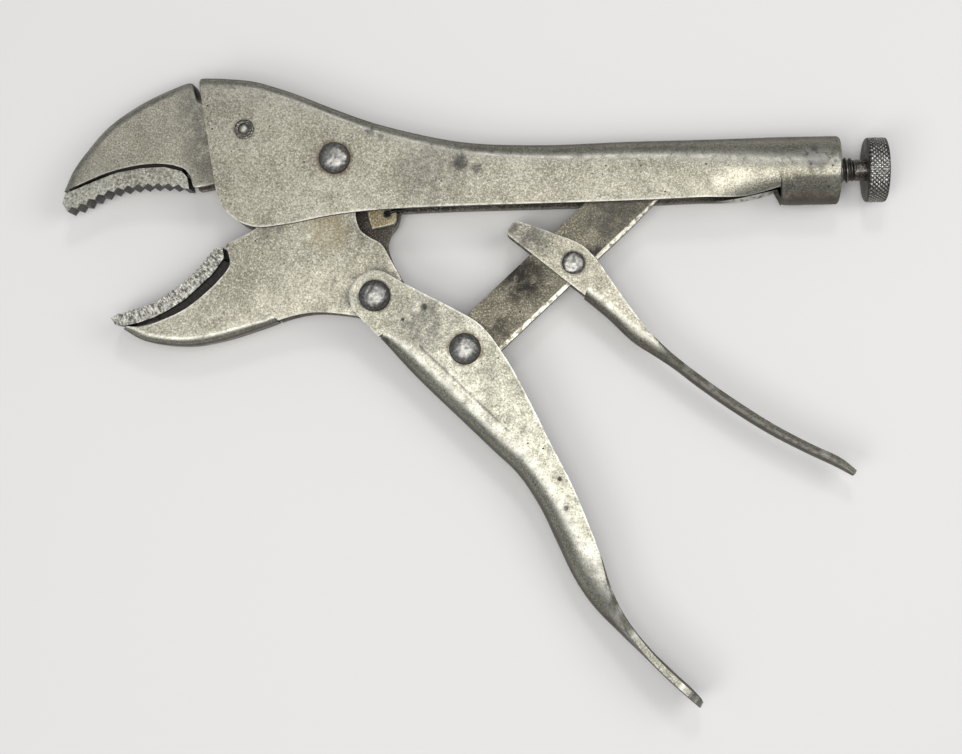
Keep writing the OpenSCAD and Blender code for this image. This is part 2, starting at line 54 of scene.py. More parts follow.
# Driving dimensions, in millimetres
MID_Z = centre("jaw_pivot_sleeve").z
JAW_PIVOT = centre("jaw_pivot_rivet")
HANDLE_PIVOT = centre("handle_pivot_rivet")
LINK_PIVOT = centre("link_rivet")
LEVER_PIVOT = centre("release_lever_rivet")
SMALL_PIVOT = centre("upper_jaw_rivet")
LINK_END_R = 6.9
LINK_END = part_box("toggle_link")[1] / MM - Vector((LINK_END_R, LINK_END_R, 0))
LINK_HALF = 7.7
HANDLE_HALF = 7.7
HANDLE_SHEET = 2.0
UPPER_JAW_HALF = 5.6
LOWER_JAW_HALF = 5.3
JAW_SHEET = 1.8
INSERT_HALF = 5.3
LEVER_HALF = 4.3
LEVER_SHEET = 1.4
COLLAR_R = 10.5
EYE_R = 7.8
JAW_EYE_R = 7.3
JAW_LOBE_R = 8.2
EDGE_ROUNDING = 0.4
RIM = 0.7
ROUND_SHARE = 0.97
# Painted highlight: a bright line along the start of each bend, held in the same attribute as edge wear
CREST_HIGHLIGHT = [0.15, 0.55, 0.40, 0.10]
PLATE_WEAR = 0.5
LARGE_HEAD_R = 4.85
LARGE_SHANK_R = 2.98
SMALL_SHANK_R = 1.88
LEVER_HEAD_R = 3.4
LEVER_HEAD_HEIGHT = 0.9
LEVER_SHANK_R = 2.18
POINT_R = 0.001
SCREW_TILT = math.radians(1)
SCREW_ORIGIN = Vector((146, -2.75, MID_Z))
SCREW_WAY = Vector((math.cos(SCREW_TILT), math.sin(SCREW_TILT), 0))
SEAM = 0.9995
KNOB_START = 16.9
KNOB_LENGTH = 6.6
KNOB_R = 10.0
TAB_HOLE = Vector((15.4, -16, MID_Z))
TAB_HOLE_R = 1.1
TAB_HALF = 0.9
ANCHOR = Vector((72.4, -0.9, MID_Z))
BITE_CENTRE = (-77.6, -1.3)
BITE_R = 47.6

# View, in millimetres: the frame's middle, the plane in which its width holds, and the camera
VIEW_MIDDLE = (44.6, -66.7)
VIEW_PLANE = MID_Z + 6
VIEW_WIDTH = 294.4
VIEW_DISTANCE = 560
VIEW_SHIFT = 0.08

# How a folded section is divided
WALL_COLUMNS = 8
BEND_COLUMNS = 8
BACK_COLUMNS = 3
STATION_STEPS = 5
CURVE_STEPS = 4
FULL_BEND = 90


# ---------------------------------------------------------------- materials

class Nodes:
    """Short calls for building a node tree."""

    def __init__(self, material):
        self.tree = material.node_tree
        self.tree.nodes.clear()
        coordinates = self.add("ShaderNodeTexCoord")
        self.place = coordinates.outputs["Object"]
        normal = self.add("ShaderNodeSeparateXYZ")
        self.link(coordinates.outputs["Normal"], normal.inputs[0])
        self.upright = self.math("ABSOLUTE", normal.outputs["Z"])
        self.clean = 1.0

    def add(self, kind, **settings):
        node = self.tree.nodes.new(kind)
        for key, value in settings.items():
            setattr(node, key, value)
        return node

    def link(self, source, target):
        self.tree.links.new(source, target)

    def feed(self, node, **inputs):
        for name, value in inputs.items():
            self.plug(node.inputs[name.replace("_", " ")], value)
        return node

    def plug(self, socket, value):
        if isinstance(value, bpy.types.NodeSocket):
            self.link(value, socket)
        else:
            socket.default_value = value

    def noise(self, size_mm, detail=3.0, roughness=0.6, place=None):
        """Noise whose features are about size_mm across."""
        node = self.add("ShaderNodeTexNoise")
        return self.feed(node, Vector=place or self.place, Scale=1 / (size_mm * MM), Detail=detail,
                         Roughness=roughness).outputs["Fac"]

    def spots(self, size_mm, radius):
        """Round spots about size_mm apart: 1 inside them, 0 outside."""
        node = self.add("ShaderNodeTexVoronoi", feature="F1")
        self.feed(node, Vector=self.place, Scale=1 / (size_mm * MM), Randomness=1.0)
        return self.band(node.outputs["Distance"], radius, radius * 0.6)

    def band(self, value, start, end, low=0.0, high=1.0):
        """A value's way from start to end, mapped to low to high and held there."""
        node = self.add("ShaderNodeMapRange", interpolation_type="SMOOTHSTEP")
        self.feed(node, Value=value, From_Min=start, From_Max=end, To_Min=low, To_Max=high)
        return node.outputs[0]

    def math(self, operation, a, b=0.0):
        node = self.add("ShaderNodeMath", operation=operation)
        self.plug(node.inputs[0], a)
        self.plug(node.inputs[1], b)
        return node.outputs[0]

    def mix(self, factor, a, b):
        node = self.add("ShaderNodeMix", data_type="RGBA")
        self.plug(node.inputs[0], factor)
        for socket, value in ((node.inputs[6], a), (node.inputs[7], b)):
            self.plug(socket, value if isinstance(value, bpy.types.NodeSocket) else (*value, 1))
        return node.outputs[2]

    def soil_and_shade(self, mask, tone, colour):
        """Covers a tone with a matt colour where a mask is 1, for real dirt and for painted shade."""
        self.clean = self.math("MULTIPLY", self.clean, self.math("SUBTRACT", 1.0, mask))
        return self.mix(mask, tone, colour)

    def project(self, start, way):
        """Distance in millimetres from a point, along a direction."""
        moved = self.add("ShaderNodeVectorMath", operation="SUBTRACT")
        self.link(self.place, moved.inputs[0])
        moved.inputs[1].default_value = Vector(start).to_3d() * MM
        along = self.add("ShaderNodeVectorMath", operation="DOT_PRODUCT")
        self.link(moved.outputs[0], along.inputs[0])
        along.inputs[1].default_value = Vector(way).to_3d() / MM
        return along.outputs["Value"]

    def across(self, start, end):
        """Distance in millimetres to the left of the line between two points in plan."""
        way = (Vector(end).to_2d() - Vector(start).to_2d()).normalized()
        return self.project(Vector(start).to_2d(), (-way.y, way.x))

    def depth(self):
        """Distance in millimetres from the mid-plane."""
        return self.math("ABSOLUTE", self.project((0, 0, MID_Z), (0, 0, 1)))

    def length(self, x, y):
        """Length of a two-part vector."""
        return self.math("SQRT", self.math("ADD", self.math("MULTIPLY", x, x), self.math("MULTIPLY", y, y)))

    def near(self, at, radius, soft):
        """1 within radius millimetres of a point in plan, fading to 0 over soft millimetres."""
        gap = self.length(self.project(at, (1, 0)), self.project(at, (0, 1)))
        return self.band(gap, radius + soft, radius)

    def streak(self, start, end, width, soft):
        """1 along the line between two points in plan, fading to 0 beside it and past its ends."""
        way = Vector(end) - Vector(start)
        along = self.project(start, way.normalized())
        aside = self.math("ABSOLUTE", self.across(start, end))
        ends = self.math("MULTIPLY", self.band(along, 0, 2 * soft),
                         self.band(along, way.length, way.length - 2 * soft))
        return self.math("MULTIPLY", ends, self.band(aside, width + soft, width))


# Near-black grease in pits and spots; also used as painted shade on tooth sides and round the small rivet
GREASE_AND_SHADE = (0.012, 0.010, 0.008)
# Painted shade: a dark matt colour put on steep sides and on the collar's lower half
PAINTED_SHADE = (0.045, 0.036, 0.026)
RUST = (0.10, 0.055, 0.025)
OCHRE = (0.26, 0.20, 0.085)
# Dark scuffs; also used as painted shade where a patch stands in for shade
SCUFF_AND_SHADE = (0.045, 0.044, 0.042)
PAPER = (0.78, 0.77, 0.75)
# Colour of worn steel, also used for the painted highlights along bends
WORN_AND_LIT = (0.62, 0.61, 0.55)
LINK_WORN_AND_LIT = (0.62, 0.6, 0.5)
FILED_LOW = (0.05, 0.05, 0.043)
FILED_HIGH = (0.66, 0.65, 0.60)
# Specular level of the matt cover that real dirt and painted shade put on steel
DIRT_AND_SHADE_GLOSS = 0.15


def steel(name, light, dark, rough, grain=0.5, contrast=0.6, depth=0.03, pits=0.0, patches=(),
          wear_and_highlight=0.0, worn_and_lit=WORN_AND_LIT, sides=0.85, dents=0.0, top_only=False, detail=None):
    """Aged steel: clouded tone, speckle, dark pits, stains and painted shade at given places, painted
    shade on steep sides, bright worn edges and painted highlights at the starts of bends.

    Patches at given places are real stains and painted shade; each is a shape, as the name of a
    Nodes method with its arguments, a colour and a strength.
    With top_only, edges are worn only where they face up or down.
    """
    material = bpy.data.materials.new(name)
    material.use_nodes = True
    n = Nodes(material)
    speckle = n.noise(grain, detail=2.0, roughness=0.7)
    blotch = n.noise(4.5, detail=5.0, roughness=0.65)
    tone = n.mix(n.band(n.noise(22, detail=4.0), 0.35, 0.68), light, dark)
    tone = n.mix(n.band(blotch, 0.46, 0.72, 0.0, 0.6), tone, dark)
    tone = n.mix(n.band(speckle, 0.50, 0.34, 0.0, contrast), tone, tuple(c * 0.3 for c in dark))
    tone = n.mix(n.band(speckle, 0.53, 0.67, 0.0, contrast), tone, worn_and_lit)
    height = speckle
    if pits:
        pit = n.math("MULTIPLY", n.spots(2.2, 0.15), n.band(n.noise(6), 0.60 - pits, 0.68 - pits))
        tone = n.soil_and_shade(pit, tone, GREASE_AND_SHADE)
        height = n.math("SUBTRACT", speckle, pit)
    ragged = n.band(blotch, 0.36, 0.56, 0.3, 1.0)
    # Patches: real stains, and painted shade where a patch stands in for shade
    for shape, colour, strength in patches:
        patch = n.math("MULTIPLY", getattr(n, shape[0])(*shape[1:]), ragged)
        tone = n.soil_and_shade(n.math("MINIMUM", n.math("MULTIPLY", patch, strength), 1.0), tone, colour)
    if detail:
        tone = detail(n, tone)
    # Painted shade: steep sides darken to a matt dark colour, by the sides factor, the more their normal
    # leans from up
    tone = n.soil_and_shade(n.band(n.upright, 0.84, 0.38, 0.0, sides), tone, PAINTED_SHADE)
    # Bright worn edges, and the painted highlights along bends that share their attribute
    if wear_and_highlight:
        edge = n.add("ShaderNodeAttribute", attribute_name="wear_and_highlight").outputs["Fac"]
        rubbed_and_lit = n.math("MULTIPLY", edge, n.band(n.noise(1.8), 0.34, 0.54, 0.15, wear_and_highlight))
        if top_only:
            rubbed_and_lit = n.math("MULTIPLY", rubbed_and_lit, n.band(n.upright, 0.15, 0.5))
        tone = n.mix(rubbed_and_lit, tone, worn_and_lit)
        n.clean = n.math("MAXIMUM", n.clean, rubbed_and_lit)
    roughness = n.band(blotch, 0.3, 0.75, rough - 0.07, rough + 0.1)
    bump = n.feed(n.add("ShaderNodeBump"), Strength=0.7, Distance=depth * MM, Height=height)
    if dents:
        beaten = n.feed(n.add("ShaderNodeBump"), Strength=1.0, Distance=dents * MM,
                        Height=n.noise(2.4, detail=1.0))
        n.link(beaten.outputs[0], bump.inputs["Normal"])
    shader = n.add("ShaderNodeBsdfPrincipled")
    n.feed(shader, Base_Color=tone, Roughness=roughness, Normal=bump.outputs[0], Metallic=n.clean,
           Specular_IOR_Level=DIRT_AND_SHADE_GLOSS)
    output = n.add("ShaderNodeOutputMaterial")
    n.link(shader.outputs[0], output.inputs[0])
    return material


def shaded_teeth(n, tone):
    """Painted shade on an insert wherever it lies deeper than its outer faces: its tooth sides go matt
    near-black.
    """
    return n.soil_and_shade(n.band(n.depth(), INSERT_HALF - 0.25, INSERT_HALF - 0.8, 0.0, 0.97), tone, GREASE_AND_SHADE)


def filed(n, tone):
    """The lower insert: broken marks across its length, which follow the bite's arc, and painted shade on its
    tooth sides.
    """
    x, y = (n.project(BITE_CENTRE, way) for way in ((1, 0), (0, 1)))
    turn = n.add("ShaderNodeCombineXYZ")
    n.feed(turn, X=n.math("MULTIPLY", n.math("ARCTAN2", y, x), BITE_R * MM),
           Y=n.math("MULTIPLY", n.length(x, y), 0.4 * MM))
    mark = n.noise(0.75, detail=4.0, roughness=0.75, place=turn.outputs[0])
    tone = n.mix(n.band(mark, 0.51, 0.41, 0.0, 0.9), tone, FILED_LOW)
    tone = n.mix(n.band(mark, 0.54, 0.62, 0.0, 0.8), tone, FILED_HIGH)
    return shaded_teeth(n, tone)


def link_edge_wear_and_highlight(n, tone):
    """The toggle link's edge that rubs against the handle's folded back is bright: partly wear, partly a
    painted highlight of its rounded edge.
    """
    rim = n.band(n.across(LINK_PIVOT, LINK_END), 1.5 - LINK_HALF, 1.0 - LINK_HALF)
    rubbed_and_lit = n.math("MULTIPLY", rim, n.band(n.noise(1.8), 0.36, 0.52, 0.15, 1.0))
    return n.mix(rubbed_and_lit, tone, LINK_WORN_AND_LIT)


plated = dict(light=(0.360, 0.345, 0.275), dark=(0.235, 0.222, 0.170), rough=0.42, pits=0.06, wear_and_highlight=0.9,
              top_only=True)
bright = {**plated, "light": (0.365, 0.355, 0.290), "dark": (0.245, 0.237, 0.186)}
SHELL_STEEL = steel("shell_steel", patches=[
    (("near", (29, -3), 4, 11), SCUFF_AND_SHADE, 0.35), (("near", (146.5, 0), 2, 4), SCUFF_AND_SHADE, 0.9),
    (("near", (11, 8.4), 0.9, 0.9), SCUFF_AND_SHADE, 0.95), (("near", (14, 6.8), 0.6, 0.8), SCUFF_AND_SHADE, 0.6),
    (("near", (38.5, -1.2), 1.4, 1.8), SCUFF_AND_SHADE, 0.75), (("near", (43.5, -3.2), 0.9, 1.6), SCUFF_AND_SHADE, 0.6),
    (("near", JAW_PIVOT, 5.1, 1.3), RUST, 0.6), (("near", (152.5, -1.2), 0.35, 0.4), GREASE_AND_SHADE, 3.0),
    (("near", (150.6, -0.5), 0.3, 0.3), GREASE_AND_SHADE, 3.0), (("near", (151.6, -2.6), 0.2, 0.3), GREASE_AND_SHADE, 2.0),
    # Painted shade: these two dark streaks below the collar's axis darken its lower half
    (("streak", (139.5, -6.9), (157, -6.6), 0.9, 0.7), SCUFF_AND_SHADE, 0.55),
    (("streak", (138, -11.9), (157, -11.6), 1.4, 0.9), PAINTED_SHADE, 0.6),
    # Painted shade: a dark ring on the shell round the small rivet's sunk head
    (("near", SMALL_PIVOT, 2.9, 0.8), GREASE_AND_SHADE, 0.5)], **plated)
UPPER_JAW_STEEL = steel("upper_jaw_steel", patches=[
    # Painted shadow: the first streak darkens the jaw along the shell's front edge
    (("streak", (-41, 34), (-34, -20), 5, 9), SCUFF_AND_SHADE, 0.55), (("near", (-75, -4), 4, 8), SCUFF_AND_SHADE, 0.3)],
    **{**plated, "light": (0.405, 0.390, 0.315), "dark": (0.285, 0.272, 0.21), "wear_and_highlight": 0.45})
LOWER_JAW_STEEL = steel("lower_jaw_steel", patches=[
    (("near", (-2, -22), 3.0, 5.0), OCHRE, 0.35), (("near", (8, -22), 2, 4), SCUFF_AND_SHADE, 0.3),
    # The spot at (-20, -22) darkens the jaw just under the shell's lower edge
    (("near", (-20, -22), 2, 3.5), SCUFF_AND_SHADE, 0.4), (("near", HANDLE_PIVOT, 8.3, 2.5), SCUFF_AND_SHADE, 0.4)], **plated)
TAB_STEEL = steel("tab_steel", (0.33, 0.28, 0.16), (0.22, 0.18, 0.10), 0.5, patches=[
    (("near", TAB_HOLE, 1.2, 0.8), GREASE_AND_SHADE, 0.9)], wear_and_highlight=0.9)
HANDLE_STEEL = steel("handle_steel", patches=[
    (("near", (27, -50), 4, 9), SCUFF_AND_SHADE, 0.35),
    (("near", (27.2, -45.4), 0.7, 0.8), GREASE_AND_SHADE, 0.8), (("near", (20.8, -49.2), 0.3, 0.4), GREASE_AND_SHADE, 0.9),
    (("near", (63.4, -98), 0.2, 0.3), GREASE_AND_SHADE, 0.9), (("near", (70.6, -106.8), 0.5, 0.5), GREASE_AND_SHADE, 0.9),
    (("near", (68.7, -97.9), 0.4, 0.5), GREASE_AND_SHADE, 0.8), (("near", (57.2, -92.3), 0.2, 0.4), GREASE_AND_SHADE, 0.8),
    (("near", LINK_PIVOT, 5.0, 1.2), RUST, 0.45), (("near", HANDLE_PIVOT, 4.9, 0.8), SCUFF_AND_SHADE, 0.5),
    (("near", (15.6, -55.6), 0.6, 1.2), GREASE_AND_SHADE, 0.8),
    # Painted shade: a thin dark line along the crease where the flat wall meets the fold's bulge
    (("streak", (25.7, -57.2), (54.5, -84.5), 0.1, 0.5), SCUFF_AND_SHADE, 0.5)], **bright)
LEVER_STEEL = steel("lever_steel", patches=[
    (("near", LEVER_PIVOT, 3.4, 1.0), GREASE_AND_SHADE, 0.8), (("near", (60, -23), 3, 6), SCUFF_AND_SHADE, 0.45),
    (("near", (54, -20.6), 1, 2), SCUFF_AND_SHADE, 0.5)], **plated)
# Painted shade: a dark steel for the insides of the folded sheets and the tab's neck, which lie in shade
SHADED_INSIDE_STEEL = steel("shaded_inside_steel", (0.115, 0.104, 0.086), (0.050, 0.045, 0.036), 0.5, contrast=0.4,
                    wear_and_highlight=0.3, worn_and_lit=(0.40, 0.38, 0.33), sides=0.6)
UPPER_INSERT_STEEL = steel("upper_insert_steel", (0.43, 0.42, 0.36), (0.28, 0.27, 0.225), 0.4, grain=0.7,
                           contrast=0.75, depth=0.06, pits=0.12, sides=0.0, detail=shaded_teeth)
LOWER_INSERT_STEEL = steel("lower_insert_steel", (0.38, 0.37, 0.33), (0.26, 0.255, 0.22), 0.38, grain=0.7,
                           contrast=0.6, depth=0.08, sides=0.0, detail=filed)
SLEEVE_STEEL = steel("sleeve_steel", (0.45, 0.44, 0.40), (0.30, 0.29, 0.26), 0.3, sides=0.2)
LINK_STEEL = steel("link_steel", (0.148, 0.137, 0.106), (0.095, 0.088, 0.066), 0.42, pits=0.08,
                   contrast=0.5, worn_and_lit=(0.40, 0.37, 0.29), patches=[
    (("near", (57, -36), 3.5, 6.0), GREASE_AND_SHADE, 0.9), (("near", (80, -29.5), 1.6, 4.0), GREASE_AND_SHADE, 0.8),
    (("near", (51, -51), 1.0, 4.0), GREASE_AND_SHADE, 0.5), (("near", (88, -17), 5, 9), SCUFF_AND_SHADE, 0.5)],
    detail=link_edge_wear_and_highlight)
RIVET_STEEL = steel("rivet_steel", (0.22, 0.214, 0.197), (0.11, 0.106, 0.097), 0.40, grain=0.8, depth=0.05,
                    pits=0.08, wear_and_highlight=0.5, worn_and_lit=(0.5, 0.49, 0.46), sides=0.9, dents=0.45)
# Painted shade: the small rivet's dark tone stands in for the shade in its sunk ring
PEENED_STEEL = steel("peened_steel", (0.10, 0.095, 0.08), (0.05, 0.047, 0.04), 0.42, wear_and_highlight=1.0, sides=0.8)
DARK_STEEL = steel("dark_steel", (0.10, 0.092, 0.080), (0.035, 0.030, 0.026), 0.36, pits=0.05, wear_and_highlight=0.9,
                   worn_and_lit=(0.42, 0.40, 0.36), sides=0.5)
BLACKED_STEEL = steel("blacked_steel", (0.105, 0.102, 0.095), (0.030, 0.028, 0.025), 0.36, wear_and_highlight=1.0,
                      worn_and_lit=(0.80, 0.79, 0.74), sides=0.9)


# ---------------------------------------------------------------- mesh tools

def blended(rows, steps):
    """Rows of numbers on a smooth curve through the given rows, by the distance between them."""
    marks = [0.0]
    for a, b in zip(rows, rows[1:]):
        marks.append(marks[-1] + max(math.dist(a[:4], b[:4]), 1e-6))
    slopes = []
    for i in range(len(rows)):
        low, high = max(i - 1, 0), min(i + 1, len(rows) - 1)
        before = [(b - a) / (marks[i] - marks[low] or 1) for a, b in zip(rows[low], rows[i])]
        after = [(b - a) / (marks[high] - marks[i] or 1) for a, b in zip(rows[i], rows[high])]
        share = (marks[i] - marks[low]) / (marks[high] - marks[low])
        slopes.append([p * (1 - share) + q * share for p, q in zip(before, after)])
    made = []
    for i in range(len(rows) - 1):
        span = marks[i + 1] - marks[i]
        for k in range(steps):
            t = k / steps
            h = (2 * t**3 - 3 * t**2 + 1, t**3 - 2 * t**2 + t, 3 * t**2 - 2 * t**3, t**3 - t**2)
            made.append([h[0] * a + h[1] * span * m + h[2] * b + h[3] * span * s
                         for a, m, b, s in zip(rows[i], slopes[i], rows[i + 1], slopes[i + 1])])
    return made + [list(rows[-1])]


def facing(way):
    """The rotation that turns the Z axis to a direction."""
    return Vector((0, 0, 1)).rotation_difference(way).to_matrix()


def ring_points(radii, height, origin, turn):
    """Points round an axis, one per radius, at a height along it."""
    points = []
    for k, radius in enumerate(radii):
        a = 2 * math.pi * k / len(radii)
        points.append(origin + turn @ Vector((radius * math.cos(a), radius * math.sin(a), height)))
    return points


def arc(at, radius, start, end, steps=18):
    """Points in plan on an arc, from one angle to another in degrees."""
    angles = [math.radians(start + (end - start) * k / steps) for k in range(steps + 1)]
    return [(at[0] + radius * math.cos(a), at[1] + radius * math.sin(a)) for a in angles]


def grid_faces(rows, columns, closed=False):
    """Quads over a grid of points numbered row by row."""
    last = columns if closed else columns - 1
    return [(i * columns + j, i * columns + (j + 1) % columns,
             (i + 1) * columns + (j + 1) % columns, (i + 1) * columns + j)
            for i in range(rows - 1) for j in range(last)]


def inset_plates(mesh):
    """Gives each flat many-sided face a narrow rim, so that only the rim is worn."""
    plates = [face for face in mesh.faces if len(face.verts) > 4]
    if not plates:
        return
    bmesh.ops.inset_region(mesh, faces=plates, thickness=RIM * MM, use_boundary=True, use_even_offset=True)
    wear_and_highlight = mesh.verts.layers.float["wear_and_highlight"]
    for face in plates:
        for vert in face.verts:
            vert[wear_and_highlight] = 0


def piece(name, points, faces, material, body, replaced, wear_and_highlight):
    """A mesh object from points in millimetres, riding on a body in place of CAD nodes."""
    mesh = bpy.data.meshes.new(name)
    mesh.from_pydata([Vector(p) * MM for p in points], [], faces)
    mesh.attributes.new("wear_and_highlight", "FLOAT", "POINT").data.foreach_set("value", wear_and_highlight)
    tidy = bmesh.new()
    tidy.from_mesh(mesh)
    bmesh.ops.remove_doubles(tidy, verts=tidy.verts, dist=0.005 * MM)
    bmesh.ops.recalc_face_normals(tidy, faces=tidy.faces)
    inset_plates(tidy)
    for face in tidy.faces:
        face.smooth = True
    tidy.to_mesh(mesh)
    tidy.free()
    mesh.materials.append(material)
    made = bpy.data.objects.new(name, mesh)
    bpy.context.scene.collection.objects.link(made)
    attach(made, body)
    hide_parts(*replaced)
    return made


def rounded(made, width, segments=3, angle=40):
    """Rounds an object's sharp edges."""
    bevel = made.modifiers.new("rounding", "BEVEL")
    bevel.width = width * MM
    bevel.segments = segments
    bevel.limit_method = "ANGLE"
    bevel.angle_limit = math.radians(angle)
    evened = made.modifiers.new("evened", "WEIGHTED_NORMAL")
    evened.keep_sharp = True
    evened.weight = 60


def thickened(made, sheet, inside=SHADED_INSIDE_STEEL):
    """Gives a surface its sheet's thickness, inwards, with an inner side in another material, by default the
    dark steel that paints the shade inside the channels, and rounded edges.
    """
    made.data.materials.append(inside)
    thick = made.modifiers.new("sheet", "SOLIDIFY")
    thick.thickness = sheet * MM
    thick.offset = -1
    thick.material_offset = 1
    rounded(made, EDGE_ROUNDING)


# ---------------------------------------------------------------- folded sheets

def section(station, sheet):
    """One side of a folded section, as (x, y, rise) from the open edge to the back's middle.

    A station is fold x, y, edge x, y, half width, bend radius, bend sweep and how far the walls
    curl in.
    """
    fold, edge = Vector(station[0:2]), Vector(station[2:4])
    half, bend, sweep, curl = station[4:]
    reach = max((edge - fold).length, 0.02)
    way = (edge - fold) / reach
    full = math.radians(min(sweep, FULL_BEND))
    corner = min(bend, half * ROUND_SHARE)
    foot = reach - sheet * math.cos(full)
    depth = min(bend, foot)
    run = foot - depth
    lean = math.asin(min(max(curl, 0) * run / half, 1.0))
    rim = RIM / max(run, 4 * RIM)
    path = []
    for share in [1] + [(1 - rim) * (1 - k / (WALL_COLUMNS - 1)) for k in range(WALL_COLUMNS - 1)]:
        out = math.sin(share * lean) / math.sin(lean) if lean > 0.01 else share
        path.append((depth + run * out, half * math.cos(share * lean)))
    for k in range(BEND_COLUMNS):
        a = full * (1 - k / BEND_COLUMNS)
        path.append((depth * (1 - math.cos(a)) / (1 - math.cos(full)),
                     half - corner + corner * math.sin(a) / math.sin(full)))
    path += [(0, (half - corner) * (1 - k / BACK_COLUMNS)) for k in range(BACK_COLUMNS + 1)]
    return [(*(fold + way * inward), rise) for inward, rise in path]


def wall_line(station, sheet):
    """The flat part of a section in plan, from its open edge to where its bend starts."""
    return [(x, y) for x, y, _ in section(station, sheet)[:WALL_COLUMNS + 1]]


def stations(folds, edges, half, bends, sweeps=None, flares=None, curls=None):
    """Stations from lists of fold and edge points and the bend radius at each."""
    count = len(folds)
    sweeps = sweeps or [FULL_BEND] * count
    flares = flares or [0] * count
    curls = curls or [0] * count
    return [(*f, *e, half + flare, bend, sweep, curl) for f, e, bend, sweep, flare, curl
            in zip(folds, edges, bends, sweeps, flares, curls)]


def folded_sheet(name, runs, sheet, material, body, replaced, plates=()):
    """A visual piece for a sheet folded along one side, over runs of stations.

    Each run is blended on its own, and the next is joined on straight. The plates are flat walls
    beyond the fold, as (side, half width, outline, the section that they start from).
    """
    points, faces, wear_and_highlight = [], [], []
    rows = [row for run in runs for row in blended(run, STATION_STEPS)]
    columns = WALL_COLUMNS + BEND_COLUMNS + BACK_COLUMNS + 1
    for side in (1, -1):
        first = len(points)
        for row in rows:
            path = section(row, sheet)
            points += [(x, y, MID_Z + side * rise) for x, y, rise in path]
            # Wear on the open edge, and a painted highlight at the start of the bend
            wear_and_highlight += [1.0] + [0.0] * (WALL_COLUMNS - 1) + CREST_HIGHLIGHT
            wear_and_highlight += [0.0] * (columns - WALL_COLUMNS - len(CREST_HIGHLIGHT))
        faces += [tuple(first + i for i in (f if side > 0 else reversed(f)))
                  for f in grid_faces(len(rows), columns)]
    for side, half, outline, start in plates:
        ring = outline + wall_line(start, sheet)[::-1]
        first = len(points)
        points += [(x, y, MID_Z + side * half) for x, y in ring]
        wear_and_highlight += [PLATE_WEAR] * len(outline) + [0.0] * (WALL_COLUMNS + 1)
        faces.append(tuple(range(first, first + len(ring))))
    thickened(piece(name, points, faces, material, body, replaced, wear_and_highlight), sheet)


def make_shell():
    """The fixed handle: a folded channel that is rolled shut into the collar."""
    folds = [(-41.6, 24.1), (-41.4, 24.6), (-40.6, 24.85), (-38, 24.9), (-33, 24.7), (-26, 24.1),
             (-16, 21.4), (-0.6, 15.6), (9.4, 12), (19.6, 9.2), (38.2, 5.6), (62.2, 4.8), (90, 6),
             (112, 6.7), (126, 7.2), (136, 7.57)]
    edges = [(-36.5, -8.6), (-36.2, -9.6), (-35.8, -11), (-34.6, -14), (-30.6, -18.4),
             (-25, -20.8), (-16, -20.2), (-1.6, -17.4), (8, -16.1), (19.8, -15.2), (38, -14.4),
             (62.2, -13.7), (90, -12.8), (112, -11.8), (126, -11.3), (136, -8.7)]
    bends = [3.3, 3.3, 3.3, 3.3, 3.3, 3.3, 3.3, 3.4, 3.5, 3.6, 4.2, 5.4, 6.4, 7.6, 9.2, COLLAR_R]
    flares = [0] * 13 + [0.5, 1.7, COLLAR_R - HANDLE_HALF]
    curls = [0] * 13 + [0.2, 0.7, 1]
    channel = stations(folds, edges, HANDLE_HALF, bends, flares=flares, curls=curls)
    collar = []
    for at, inset in ((-8.9, 0), (0, 0), (7, 0), (7.6, 0), (8.2, 0.12), (8.6, 0.45)):
        axis = SCREW_ORIGIN + SCREW_WAY * at
        radius = COLLAR_R - inset
        collar.append((axis.x, axis.y + radius, axis.x, axis.y - radius * SEAM,
                       radius, radius, FULL_BEND, 1))
    folded_sheet("shell", [channel, collar], HANDLE_SHEET, SHELL_STEEL,
                 "fixed_handle", ["upper_handle_shell"])


def make_upper_jaw():
    """The upper jaw's cover: a folded nose whose back end goes in between the shell's walls."""
    folds = [(-83.6, -9.7), (-81.2, -4), (-76, 3.4), (-70.8, 9.4), (-63.2, 15.2), (-55.4, 19.6),
             (-49.8, 22.1), (-46.2, 23.5), (-44.6, 23.7), (-43.4, 22.6), (-42.4, 19.4), (-39, 18.6),
             (-26, 18.4), (-19.4, 17.6)]
    edges = [(-81.6, -9.2), (-77, -7.1), (-70.6, -4.4), (-65.6, -2.9), (-58.9, -1.6),
             (-52.6, -1.4), (-48.6, -2.1), (-46, -3.2), (-44.4, -5.2), (-43.5, -8.3), (-41, -8.3),
             (-37, -7.4), (-28, -4.4), (-20.6, 0.6)]
    nose = stations(folds, edges, UPPER_JAW_HALF, [2.8] * len(folds))
    folded_sheet("upper_jaw_sheet", [nose], JAW_SHEET, UPPER_JAW_STEEL,
                 "fixed_handle", ["upper_jaw_cover"])


